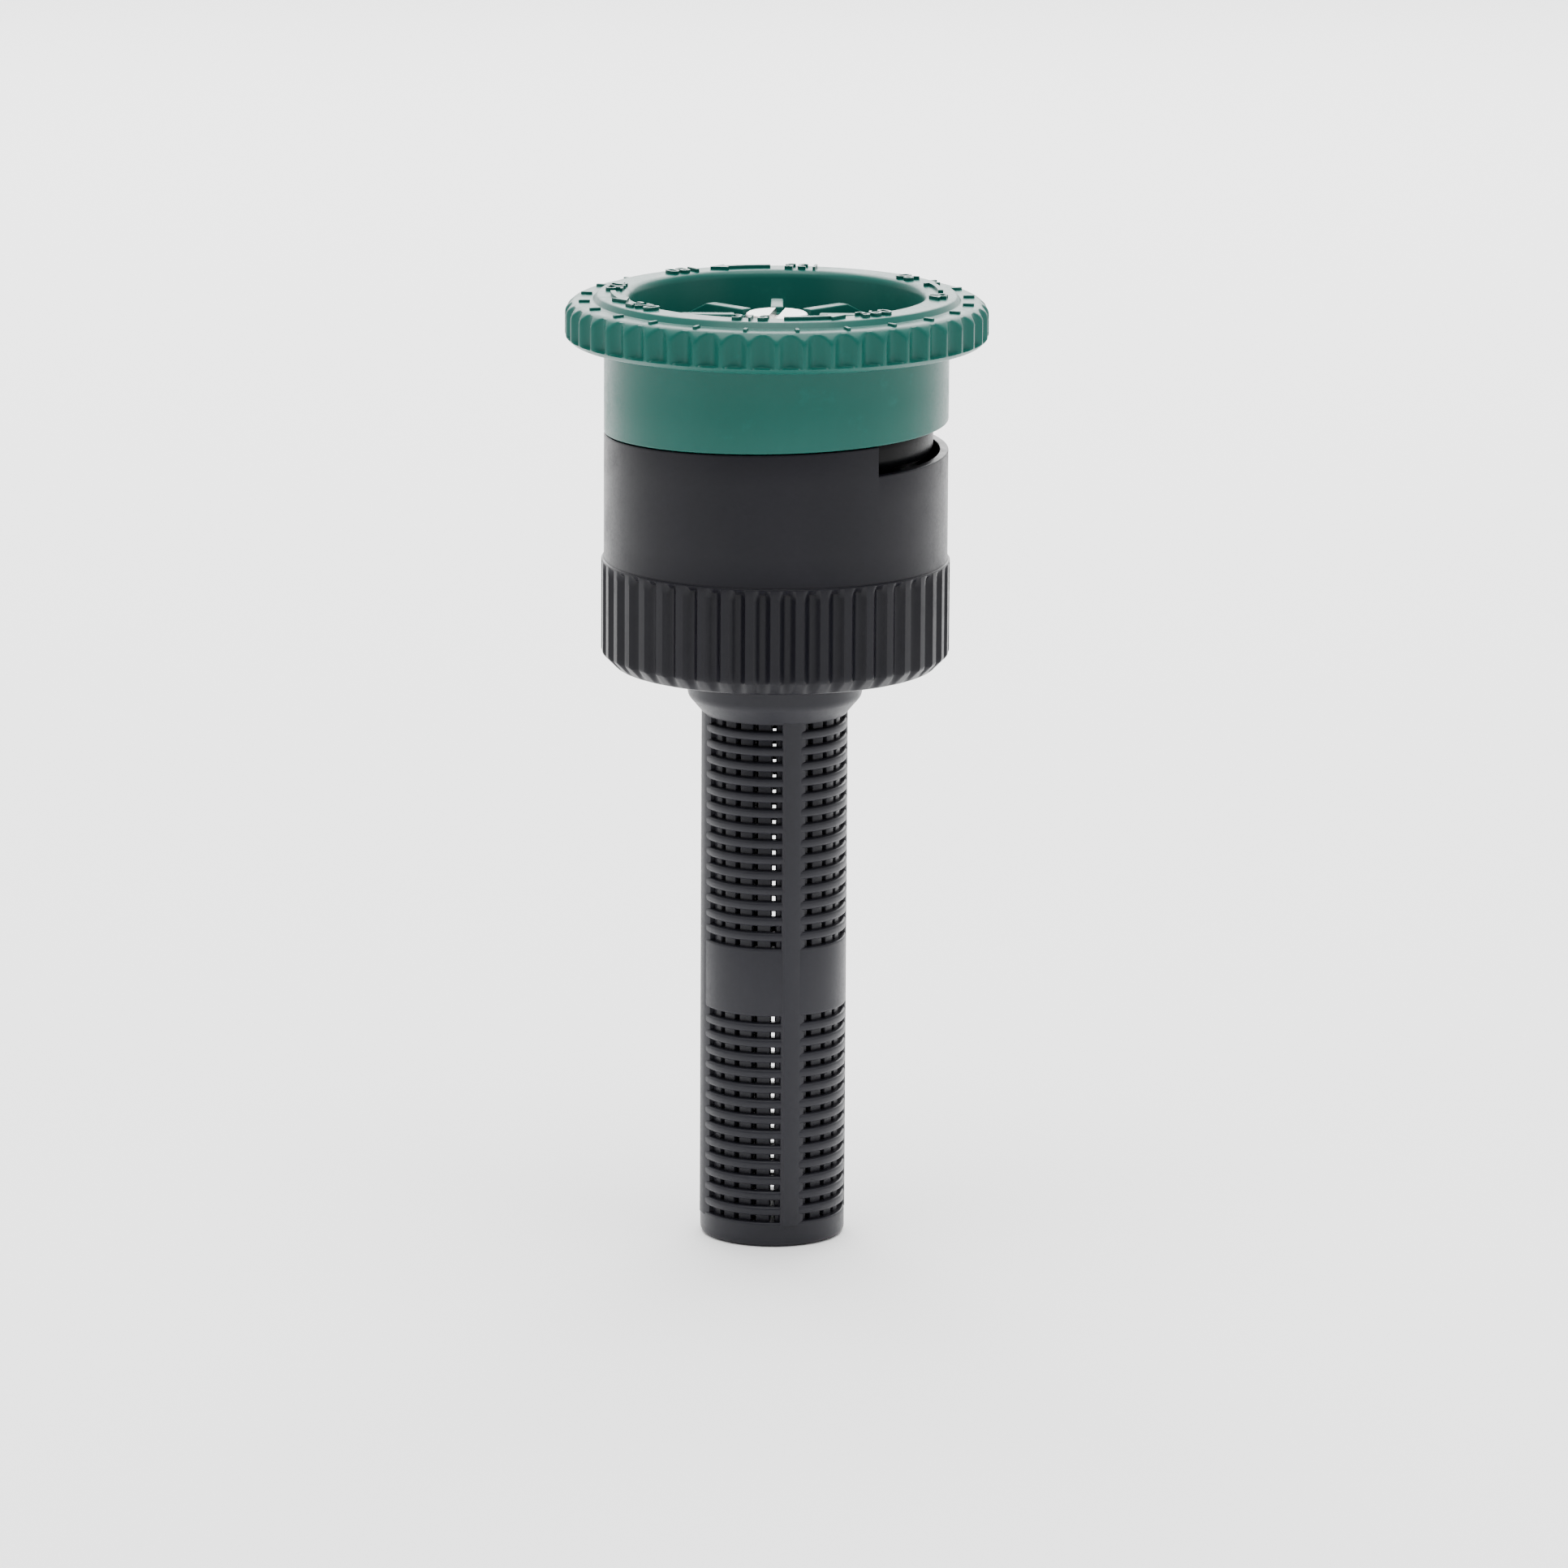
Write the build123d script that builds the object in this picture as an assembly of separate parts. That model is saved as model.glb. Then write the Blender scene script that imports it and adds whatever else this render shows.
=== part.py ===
from build123d import *
from math import radians, tan
import os

# Adjustable-arc spray nozzle with its filter screen: the fitting that screws onto the riser of a
# pop-up sprinkler.
#
# Millimetres, +Z up. The origin is on the nozzle's axis, in the plane of the seat inside the body
# where the filter's flange is clamped by the riser's rim. The front faces -Y. Angles are in
# degrees, anticlockwise seen from above, with 0 along +X.
#
# Two matching one-turn ramps set the arc: one is the body's rim, the other the collar's lower
# edge. A lug inside the collar's hub runs in a coarse helical groove on the core's stem, so the
# collar rises by the ramps' pitch each turn. The ramps stay together over the closed part of the
# circle, and leave a slot of constant height over the open part.

# ---- outer sizes ---------------------------------------------------------------------------------
DRUM_R = 10.6             # smooth drum of the body, and the collar's skirt
FOOT_R = 10.75            # crests of the gripping ribs round the body's foot
COLLAR_R = 13.0           # crests of the scalloped flange
FILTER_R = 4.5            # filter cage
FOOT_Z = -8.0             # the body's mouth
FOOT_TOP_Z = -1.35        # where the ribs end
FLANGE_Z = 12.2           # underside of the collar's flange
TOP_Z = 14.7              # outer ring of the collar's top face
CROWN_Z = 15.1            # raised ring round the bowl's mouth
FILTER_END_Z = -44.2      # closed end of the filter

# ---- ramps and spray arc -------------------------------------------------------------------------
RIM_Z = 5.28              # lowest point of the body's ramped rim
RAMP_PITCH = 1.8          # rise of a ramp in one turn, and height of the open slot
RAMP_START_DEG = -54.0    # the body's step: one end of every spray arc
REST_ARC_DEG = 90.0       # arc that the nozzle is set to
RAMP_GAP = 0.07           # running gap between the two ramps
LIP = 0.55                # wall of the drum and of the collar at the slot
CHAMBER_R = DRUM_R - LIP

# ---- riser thread, 5/8-28 ------------------------------------------------------------------------
THREAD_MAJOR_R = 15.875 / 2
THREAD_PITCH = 25.4 / 28
THREAD_MINOR_R = THREAD_MAJOR_R - 0.5413 * THREAD_PITCH
THREAD_FLANK_DEG = 30.0
THREAD_TOP_Z = -1.6       # the last full turn stops short of the seat
THREAD_LEAD_IN = 0.5

# ---- body ----------------------------------------------------------------------------------------
MOUTH_R = 9.9             # flat ring round the mouth, inside the foot's chamfer
FOOT_CHAMFER = 0.85
RIB_COUNT = 44
RIB_GROOVE_R = 0.62
RIB_GROOVE_DEPTH = 0.42
RIB_GROOVE_TOP_Z = FOOT_TOP_Z - 0.25
SEAT_BORE_R = 6.25        # socket for the filter's spigot
WEB_Z = 2.8               # underside of the ported web
WEB_TOP_Z = 3.9
CHAMBER_FLOOR_R = 9.5     # the chamber's wall slopes in to this at the web
HUB_R = 4.0
HUB_TOP_Z = 5.1           # where the core's disc rests
COUNTERBORE_R = 3.3       # room for the retaining ring under the hub
COUNTERBORE_Z = 3.8
PORT_COUNT = 6
PORT_R = 5.15             # middle of a water port
PORT_SIZE = (1.8, 3.0)
PORT_CORNER_R = 0.5

# ---- core ----------------------------------------------------------------------------------------
CORE_R = 9.66             # rounded edge of the core, seen through the slot
CORE_EDGE = 1.25          # depth of that rounding
CORE_TOP_Z = 7.7
CORE_DISH = 0.5           # the top is dished by this inside its rim
CORE_DISH_R = 4.2
STEM_R = 2.3
STEM_FOOT_Z = 2.9
STEM_TOP_Z = 12.15        # clear of the screw's head when the screw is right down
RING_GROOVE = (3.2, 3.72) # heights of the retaining ring's groove
RING_GROOVE_R = 2.0
KEY_X = 2.05              # flat key in the body's hub that stops the core turning
KEY_W = 4.0
SLIP = 0.02               # play of a pushed-together fit

# ---- helical guide between the stem and the collar -----------------------------------------------
GUIDE_Z = 7.92            # middle of the lug at its lower end
GUIDE_DEG = 40.0          # arc that the lug spans
GUIDE_H = 0.45
GUIDE_DEPTH = 0.35        # how far the groove goes into the stem
GUIDE_GAP = 0.06          # running gap round the lug
GUIDE_SLACK_DEG = 4.0     # the groove runs on past both ends of the lug's travel

# ---- collar --------------------------------------------------------------------------------------
BOWL_R = 9.1              # mouth of the bowl
CROWN_R = (11.0, 11.3)    # the raised ring's edge, at its top and at its foot
BOWL_FLOOR_R = 8.5
COLLAR_FLOOR = (8.9, 9.9) # heights of the bowl's floor plate
COLLAR_HUB_R = 3.6
COLLAR_HUB = (7.7, 13.5)  # heights of the hub
HUB_STEP_Z = 11.3         # the hub is slimmer above this
HUB_TIP_R = 2.95          # the tip stands round the screw's head, clear of it
COLLAR_BORE_R = STEM_R + 0.08
FLANGE_TOP_ROUND = 0.8
FLANGE_LOW_ROUND = 0.4
BOWL_ROUND = 0.5
SCALLOP_COUNT = 48
SCALLOP_R = 0.73
SCALLOP_DEPTH = 0.36
SPOKE_COUNT = 8
SPOKE_W = 0.8
SPOKE_FLAT = (5.8, 13.85) # a spoke's top is level out to this radius, at this height
SPOKE_END_Z = 12.4        # and comes down to this at the bowl's wall
ROOT = 0.4                # how deep a spoke or lug is rooted in what carries it

# ---- seals and screw -----------------------------------------------------------------------------
COLLAR_SEAL_Z = 10.45
COLLAR_SEAL_R = 0.32      # section of the O-ring
COLLAR_SEAL_GROOVE = (3.02, 0.4)  # radius of the groove's floor, and half its height
SCREW_R = 1.5
SCREW_BORE_R = SCREW_R + 0.06
SCREW_TIP_Z = 1.1
HEAD_R = 1.95
HEAD_H = 0.9
HEAD_TOP_Z = 13.95
HEAD_ROUND = 0.3
SLOT_SIZE = (0.6, 0.5)    # width and depth of the driver slot
SLOT_DEG = 82.0
SCREW_SEAL_Z = 10.6
SCREW_SEAL_R = 0.25
SCREW_SEAL_GROOVE = (1.0, 0.3)
PLUG_CONE = ((2.3, 0.25), (3.1, 1.25))  # radius and height at the cone's tip and at its base
PLUG_TOP_Z = 2.3

# ---- filter --------------------------------------------------------------------------------------
THROAT_R = 2.6
SPIGOT_R = 6.2
SPIGOT_BORE_R = 5.4
SPIGOT_TOP_Z = 1.1
FLANGE_R = 7.3            # the riser's rim clamps this against the seat
FLANGE_LOW_Z = -0.8
THROAT_LOW_Z = -1.2
NECK_TOP_R = 5.7
NECK_R = 5.4
NECK_BORE_R = 4.5
NECK_Z = -9.9             # where the neck starts to taper
CAGE_Z = -10.95           # where it has come down to the cage
TAPER_WALL = 0.3
CAGE_BORE_R = 3.55
END_WALL = 1.0
END_CHAMFER = 0.4
SLAT_PITCH = 0.975
GROOVE_H = 0.5
GROOVE_R = 3.95           # floor of a groove
GROOVE_ROWS = ((-11.25, 15), (-29.7, 14))  # first groove and number of grooves above and below the band
COLUMN_COUNT = 22         # upright slots inside that open into the grooves
COLUMN_R = 4.1
COLUMN_W = 0.4
FRONT_DEG = -90.0
STAVE_COUNT = 4
STAVE_DEG = -73.8
STAVE_W = 1.5

PAST = 1.0                # how far a cutting shape runs on past what it cuts


# ---- helpers -------------------------------------------------------------------------------------
def disc(r, z_low, z_high):
    """A plain cylinder on the axis, between two heights."""
    upwards = (Align.CENTER, Align.CENTER, Align.MIN)
    return Pos(0, 0, z_low) * Cylinder(r, z_high - z_low, align=upwards)


def tube(r_out, r_in, z_low, z_high):
    """A plain ring."""
    return disc(r_out, z_low, z_high) - disc(r_in, z_low - PAST, z_high + PAST)


def block(r_low, r_high, width, z_low, z_high):
    """A box across the X axis, between two distances from the axis and two heights."""
    middle = Pos((r_low + r_high) / 2, 0, (z_low + z_high) / 2)
    return middle * Box(r_high - r_low, width, z_high - z_low)


def turned(*points):
    """The solid made by turning an outline of (radius, height) points about the axis."""
    outline = make_face(Plane.XZ * Polyline(*points, close=True))
    return revolve(outline, Axis.Z, 360)


def around(count, shape, first=0.0):
    """Copies of a shape, evenly spaced round the axis."""
    return [Rot(0, 0, first + 360 * i / count) * shape for i in range(count)]


def seal(r_centre, r_section, z):
    """An O-ring."""
    return Pos(0, 0, z) * Torus(r_centre, r_section)


def edges_at(solid, r):
    """A solid's round edges of one radius, from the lowest up."""
    rings = solid.edges().filter_by(GeomType.CIRCLE)
    return rings.filter_by(lambda edge: abs(edge.radius - r) < SLIP).sort_by(Axis.Z)


def coil(outline, r, z, start_deg, pitch, rise):
    """An outline, drawn as radius from r along X and height along Y, swept up a right-hand helix."""
    path = Helix(pitch=pitch, height=rise, radius=r)
    section = Plane(origin=path @ 0, x_dir=(1, 0, 0), z_dir=(0, -1, 0)) * outline
    return Pos(0, 0, z) * Rot(0, 0, start_deg) * sweep(section, path=path, is_frenet=True)


def ramp_cutter(start_deg, z, side):
    """What lies above (side 1) or below (side -1) a one-turn ramp, as two half turns."""
    wall_r = (CHAMBER_R + DRUM_R) / 2
    reach = 6.0
    outline = Pos(0, side * reach / 2) * Rectangle(LIP + 2 * PAST, reach)
    half_rise = RAMP_PITCH / 2
    return [coil(outline, wall_r, z + half * half_rise, start_deg + half * 180, RAMP_PITCH, half_rise)
            for half in (0, 1)]


# ---- the body ------------------------------------------------------------------------------------
def thread_cutter():
    """The riser thread's helical groove, cut into its minor bore and running out at the mouth."""
    overlap = 0.12
    depth = THREAD_MAJOR_R - THREAD_MINOR_R
    half_root = THREAD_PITCH / 16
    half_mouth = half_root + (depth + overlap) * tan(radians(THREAD_FLANK_DEG))
    outline = make_face(Polyline((-overlap, -half_mouth), (depth, -half_root), (depth, half_root),
                                 (-overlap, half_mouth), close=True))
    start_z = FOOT_Z - THREAD_PITCH
    return coil(outline, THREAD_MINOR_R, start_z, 0, THREAD_PITCH, THREAD_TOP_Z - start_z)


def nozzle_body():
    """Ribbed foot with the riser thread, ported web, hub for the core, and the drum's ramped rim."""
    ramp_top_z = RIM_Z + RAMP_PITCH
    shell = turned(
        (THREAD_MINOR_R + THREAD_LEAD_IN, FOOT_Z), (MOUTH_R, FOOT_Z), (FOOT_R, FOOT_Z + FOOT_CHAMFER),
        (FOOT_R, FOOT_TOP_Z), (DRUM_R, FOOT_TOP_Z), (DRUM_R, ramp_top_z), (CHAMBER_R, ramp_top_z),
        (CHAMBER_R, RIM_Z - LIP / 2), (CHAMBER_FLOOR_R, WEB_TOP_Z), (HUB_R, WEB_TOP_Z),
        (HUB_R, HUB_TOP_Z), (STEM_R, HUB_TOP_Z), (STEM_R, COUNTERBORE_Z),
        (COUNTERBORE_R, COUNTERBORE_Z), (COUNTERBORE_R, WEB_Z), (SEAT_BORE_R, WEB_Z),
        (SEAT_BORE_R, 0), (THREAD_MINOR_R, 0), (THREAD_MINOR_R, FOOT_Z + THREAD_LEAD_IN))
    shell -= ramp_cutter(RAMP_START_DEG, RIM_Z, side=1)

    groove = disc(RIB_GROOVE_R, FOOT_Z - PAST, RIB_GROOVE_TOP_Z)
    shell -= around(RIB_COUNT, Pos(FOOT_R + RIB_GROOVE_R - RIB_GROOVE_DEPTH, 0, 0) * groove)

    depth, width = PORT_SIZE
    port = block(PORT_R - depth / 2, PORT_R + depth / 2, width, WEB_Z - PAST, WEB_TOP_Z + PAST)
    port = fillet(port.edges().filter_by(Axis.Z), PORT_CORNER_R)
    shell -= around(PORT_COUNT, port, first=180 / PORT_COUNT)

    key = block(KEY_X, COUNTERBORE_R, KEY_W, COUNTERBORE_Z, HUB_TOP_Z)
    shell += key & disc(HUB_R, COUNTERBORE_Z, HUB_TOP_Z)
    return shell - thread_cutter()


def deflector_core():
    """Fixed core: a round-edged disc behind the slot, on a hollow stem that carries the screw."""
    shoulder_r = CORE_R - CORE_EDGE
    dish_z = CORE_TOP_Z - CORE_DISH
    edge = ThreePointArc((shoulder_r, HUB_TOP_Z), (CORE_R, (HUB_TOP_Z + CORE_TOP_Z) / 2),
                         (shoulder_r, CORE_TOP_Z))
    rest = Polyline((shoulder_r, CORE_TOP_Z), (CORE_DISH_R, dish_z), (STEM_R, dish_z),
                    (STEM_R, STEM_TOP_Z), (SCREW_BORE_R, STEM_TOP_Z), (SCREW_BORE_R, STEM_FOOT_Z),
                    (STEM_R, STEM_FOOT_Z), (STEM_R, HUB_TOP_Z), (shoulder_r, HUB_TOP_Z))
    core = revolve(Plane.XZ * make_face([edge, rest]), Axis.Z, 360)
    core -= tube(STEM_R + PAST, RING_GROOVE_R, *RING_GROOVE)
    core -= block(KEY_X - SLIP, STEM_R + PAST, KEY_W + PAST, STEM_FOOT_Z - PAST, HUB_TOP_Z)

    proud = 0.3
    outline = Rectangle(GUIDE_DEPTH + proud, GUIDE_H + 2 * GUIDE_GAP)
    lowest_z = GUIDE_Z - RAMP_PITCH * (REST_ARC_DEG + GUIDE_SLACK_DEG) / 360
    travel_deg = 360 + GUIDE_DEG + 2 * GUIDE_SLACK_DEG
    guide_r = STEM_R + (proud - GUIDE_DEPTH) / 2
    return core - coil(outline, guide_r, lowest_z, RAMP_START_DEG - GUIDE_SLACK_DEG, RAMP_PITCH,
                       RAMP_PITCH * travel_deg / 360)


def core_retaining_ring():
    """Split ring that snaps into the stem's groove and holds the core down on the hub."""
    outer_r, gap_w = 3.1, 2.6
    low, high = RING_GROOVE
    ring = tube(outer_r, RING_GROOVE_R + SLIP, low + SLIP, high - SLIP)
    return ring - Rot(0, 0, 180) * block(PAST, outer_r + PAST, gap_w, low, high)


# ---- the collar ----------------------------------------------------------------------------------
def arc_collar():
    """Scalloped flange, bowl with spokes and hub, and the skirt whose edge is the upper ramp."""
    floor_low, floor_top = COLLAR_FLOOR
    hub_low, hub_top = COLLAR_HUB
    collar = turned(
        (COLLAR_BORE_R, hub_low), (COLLAR_HUB_R, hub_low), (COLLAR_HUB_R, floor_low),
        (CHAMBER_R, floor_low), (CHAMBER_R, RIM_Z), (DRUM_R, RIM_Z), (DRUM_R, FLANGE_Z),
        (COLLAR_R, FLANGE_Z), (COLLAR_R, TOP_Z), (CROWN_R[1], TOP_Z), (CROWN_R[0], CROWN_Z),
        (BOWL_R, CROWN_Z), (BOWL_FLOOR_R, floor_top),
        (COLLAR_HUB_R, floor_top), (COLLAR_HUB_R, HUB_STEP_Z), (HUB_TIP_R, HUB_STEP_Z),
        (HUB_TIP_R, hub_top), (COLLAR_BORE_R, hub_top))
    collar = fillet(edges_at(collar, COLLAR_R)[-1], FLANGE_TOP_ROUND)
    collar = fillet(edges_at(collar, COLLAR_R)[0], FLANGE_LOW_ROUND)
    collar = fillet(edges_at(collar, BOWL_R)[-1], BOWL_ROUND)

    step_deg = RAMP_START_DEG + REST_ARC_DEG
    edge_z = RIM_Z + RAMP_PITCH * REST_ARC_DEG / 360 + RAMP_GAP
    collar -= ramp_cutter(step_deg, edge_z, side=-1)

    scallop = disc(SCALLOP_R, FLANGE_Z - PAST, TOP_Z + PAST)
    scallop = Pos(COLLAR_R + SCALLOP_R - SCALLOP_DEPTH, 0, 0) * scallop
    collar -= around(SCALLOP_COUNT, scallop, first=180 / SCALLOP_COUNT)

    inner_r, outer_r, base_z = HUB_TIP_R - ROOT, BOWL_FLOOR_R + ROOT, floor_top - ROOT
    side = Plane.XZ * Polyline((inner_r, base_z), (outer_r, base_z), (outer_r, SPOKE_END_Z), SPOKE_FLAT,
                               (inner_r, SPOKE_FLAT[1]), close=True)
    for spoke in around(SPOKE_COUNT, extrude(make_face(side), SPOKE_W / 2, both=True)):
        collar += spoke

    groove_r, half_h = COLLAR_SEAL_GROOVE
    collar -= tube(groove_r, COLLAR_BORE_R - SLIP, COLLAR_SEAL_Z - half_h, COLLAR_SEAL_Z + half_h)

    tip_r = STEM_R - GUIDE_DEPTH + GUIDE_GAP
    root_r = COLLAR_BORE_R + ROOT
    outline = Rectangle(root_r - tip_r, GUIDE_H)
    return collar + coil(outline, (tip_r + root_r) / 2, GUIDE_Z, step_deg, RAMP_PITCH,
                         RAMP_PITCH * GUIDE_DEG / 360)


def collar_seal_ring():
    """O-ring in the collar's hub. It gives the collar its drag and keeps water out of the bowl."""
    return seal(STEM_R + SLIP + COLLAR_SEAL_R, COLLAR_SEAL_R, COLLAR_SEAL_Z)


# ---- the radius screw ----------------------------------------------------------------------------
def radius_screw():
    """Slotted screw that is turned from above to shorten the throw."""
    head_z = HEAD_TOP_Z - HEAD_H
    groove_r, half_h = SCREW_SEAL_GROOVE
    width, depth = SLOT_SIZE
    head = fillet(edges_at(disc(HEAD_R, head_z, HEAD_TOP_Z), HEAD_R)[-1], HEAD_ROUND)
    screw = head + disc(SCREW_R, SCREW_TIP_Z, head_z)
    screw -= tube(SCREW_R + PAST, groove_r, SCREW_SEAL_Z - half_h, SCREW_SEAL_Z + half_h)
    slot = block(-HEAD_R - PAST, HEAD_R + PAST, width, HEAD_TOP_Z - depth, HEAD_TOP_Z + PAST)
    return screw - Rot(0, 0, SLOT_DEG) * slot


def screw_seal_ring():
    """Small O-ring in the screw's groove, sliding in the stem's bore."""
    return seal(SCREW_BORE_R - SLIP - SCREW_SEAL_R, SCREW_SEAL_R, SCREW_SEAL_Z)


def throttle_plug():
    """Cone on the screw's tip that closes on the filter's throat."""
    (tip_r, tip_z), (base_r, base_z) = PLUG_CONE
    plug = turned((0, tip_z), (tip_r, tip_z), (base_r, base_z), (base_r, PLUG_TOP_Z), (0, PLUG_TOP_Z))
    return plug - disc(SCREW_R, SCREW_TIP_Z, PLUG_TOP_Z + PAST)


# ---- the filter ----------------------------------------------------------------------------------
def filter_screen():
    """One moulding: flange, spigot, throat, neck, and a cage whose grooves and slots cross."""
    end_wall_z = FILTER_END_Z + END_WALL
    screen = turned(
        (THROAT_R, 0), (SPIGOT_BORE_R, 0), (SPIGOT_BORE_R, SPIGOT_TOP_Z), (SPIGOT_R, SPIGOT_TOP_Z),
        (SPIGOT_R, 0), (FLANGE_R, 0), (FLANGE_R, FLANGE_LOW_Z), (NECK_TOP_R, FLANGE_LOW_Z),
        (NECK_R, NECK_Z), (FILTER_R, CAGE_Z), (FILTER_R, FILTER_END_Z + END_CHAMFER),
        (FILTER_R - END_CHAMFER, FILTER_END_Z), (0, FILTER_END_Z), (0, end_wall_z),
        (CAGE_BORE_R, end_wall_z), (CAGE_BORE_R, CAGE_Z - TAPER_WALL),
        (NECK_BORE_R, NECK_Z - TAPER_WALL), (NECK_BORE_R, THROAT_LOW_Z), (THROAT_R, THROAT_LOW_Z))

    half_h = GROOVE_H / 2
    stave = block(CAGE_BORE_R, FILTER_R + PAST, STAVE_W, FILTER_END_Z, 0)
    staves = around(STAVE_COUNT, stave, first=STAVE_DEG)
    for first_z, count in GROOVE_ROWS:
        last_z = first_z - SLAT_PITCH * (count - 1)
        for i in range(count):
            z = first_z - SLAT_PITCH * i
            screen -= tube(FILTER_R + PAST, GROOVE_R, z - half_h, z + half_h) - staves
        column = block(COLUMN_R - PAST, COLUMN_R, COLUMN_W, last_z - half_h, first_z + half_h)
        screen -= around(COLUMN_COUNT, column, first=FRONT_DEG)
    return screen


PARTS = (nozzle_body, deflector_core, core_retaining_ring, arc_collar, collar_seal_ring,
         radius_screw, screw_seal_ring, throttle_plug, filter_screen)

os.makedirs("parts", exist_ok=True)
for make in PARTS:
    shape = make()
    export_step(shape, os.path.join("parts", make.__name__ + ".step"))
    print(make.__name__, "volume", round(shape.volume, 1))
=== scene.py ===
"""Looks for an adjustable-arc spray nozzle: plastic shells, slotted steel screw and a fine filter cage.

Sizes are in metres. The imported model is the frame: it gives every height and radius that a shell has to meet.
"""
from math import cos, pi, radians, sin, tau

import bmesh
import bpy
from mathutils import Matrix, Vector


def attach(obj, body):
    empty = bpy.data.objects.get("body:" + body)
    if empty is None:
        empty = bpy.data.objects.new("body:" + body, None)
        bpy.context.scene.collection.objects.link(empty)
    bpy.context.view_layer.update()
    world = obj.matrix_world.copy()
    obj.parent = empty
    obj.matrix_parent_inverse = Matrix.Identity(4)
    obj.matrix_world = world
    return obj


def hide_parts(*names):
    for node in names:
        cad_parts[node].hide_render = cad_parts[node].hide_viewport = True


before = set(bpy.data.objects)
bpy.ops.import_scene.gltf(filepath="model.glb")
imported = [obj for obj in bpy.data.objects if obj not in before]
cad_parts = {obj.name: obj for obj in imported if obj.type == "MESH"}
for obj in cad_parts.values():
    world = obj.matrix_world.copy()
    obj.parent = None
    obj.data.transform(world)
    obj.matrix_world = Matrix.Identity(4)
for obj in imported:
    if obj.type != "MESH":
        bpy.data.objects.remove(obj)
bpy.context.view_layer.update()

MM = 0.001

# ---- sizes of the nozzle, in millimetres ---------------------------------------------------------
# drum, skirt and ramps
BODY_R = 10.6
LIP_R = 10.05             # inside of the drum and of the skirt
RIM_Z = 5.28              # lowest point of the body's ramp
RAMP_PITCH = 1.8
RAMP_GAP = 0.07
RAMP_START_DEG = -54.0
REST_ARC_DEG = 90.0

# foot
FOOT_R = 10.75
FOOT_Z = -8.0
FOOT_TOP_Z = -1.35
FOOT_CHAMFER = 0.85
MOUTH_R = 9.9             # flat ring round the mouth, inside the chamfer
MOUTH_BORE_R = 8.3
FOOT_GROOVES = 44
FOOT_GROOVE_DEPTH = 0.42
FOOT_GROOVE_SHARE = 0.62
THREAD_MAJOR_R = 7.94
THREAD_PITCH = 0.907
THREAD_TURNS = 7.0

# web and hub of the body
SEAT_BORE_R = 6.25
WEB_Z = 2.8
WEB_TOP_Z = 3.9
CHAMBER_FLOOR_R = 9.5
HUB_R = 4.0
HUB_TOP_Z = 5.1
COUNTERBORE_R = 3.3
COUNTERBORE_Z = 3.8

# core
CORE_R = 9.66
CORE_ROUND = 1.1
CORE_TOP_Z = 7.7
CORE_DISH_R = 4.2
CORE_DISH_Z = 7.2
STEM_R = 2.3
STEM_FOOT_Z = 2.9
STEM_TOP_Z = 12.15
SCREW_BORE_R = 1.56

# collar
COLLAR_R = 13.0
FLANGE_Z = 12.2
FLANGE_LOW_R = 12.62      # where the flange's lower edge starts to slope out
FLANGE_TOP_R = 12.45      # and its upper edge
TOP_Z = 14.7
CROWN_Z = 15.1
CROWN_FOOT_R = 11.3
CROWN_R = 11.0
BOWL_R = 9.06
BOWL_WALL_R = 8.75
BOWL_WALL_Z = 12.4
BOWL_FLOOR_R = 8.5
BOWL_FLOOR_Z = 9.9
FLOOR_LOW_Z = 8.9
COLLAR_HUB_R = 3.6
COLLAR_BORE_R = 2.38
HUB_LOW_Z = 7.7
HUB_STEP_Z = 11.3         # the hub is slimmer above this
HUB_TIP_R = 2.95
HUB_TIP_Z = 13.5
SEAL_GROOVE_R = 3.02
SEAL_LOW_Z = 10.05
SEAL_TOP_Z = 10.85
SCALLOPS = 48
SCALLOP_DEPTH = 0.45
SCALLOP_SHARE = 0.86
SPOKES = 8

# dial
DIAL_R = 10.05
DIAL_PROUD = 0.2
DIAL_SUNK = 0.1           # how far a mark goes down into the face
NUMBER_SIZE = 1.6
NUMBER_STEP_DEG = 45
NUMBERS = 8
FIRST_NUMBER_DEG = -9.0
TICKS = 24
TICK_PROUD = 0.16
ARROWS = 4

# filter
FILTER_R = 4.5
FILTER_END_Z = -44.2
THROAT_R = 2.6
THROAT_LOW_Z = -1.2
SPIGOT_R = 6.2
SPIGOT_BORE_R = 5.4
SPIGOT_TOP_Z = 1.1
CLAMP_R = 7.3             # flange that the riser's rim clamps
CLAMP_LOW_Z = -0.8
NECK_TOP_R = 5.7
NECK_R = 5.4
NECK_BORE_R = 4.4
NECK_Z = -9.9
CAGE_TOP_Z = -10.95
CAGE_BORE_R = 3.6
SLAT_PITCH = 0.975
SLAT_ROOT_R = 3.9
SLAT_EXTRA = 0.05         # each side of a slat, beyond the groove's own height
GROOVE_H = 0.5
FIRST_GROOVES = ((-11.25, 15), (-29.7, 14))  # first groove and number of them, above and below the band
STAVE_DEG = -73.8
STAVES = 4
BAR_COUNT = 22
FRONT_DEG = -90.0

# ---- meshes --------------------------------------------------------------------------------------
SHARP_DEG = 38            # edges sharper than this stay sharp
FINE_COLUMNS = 160        # columns round a plain turned piece of the filter

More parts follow.
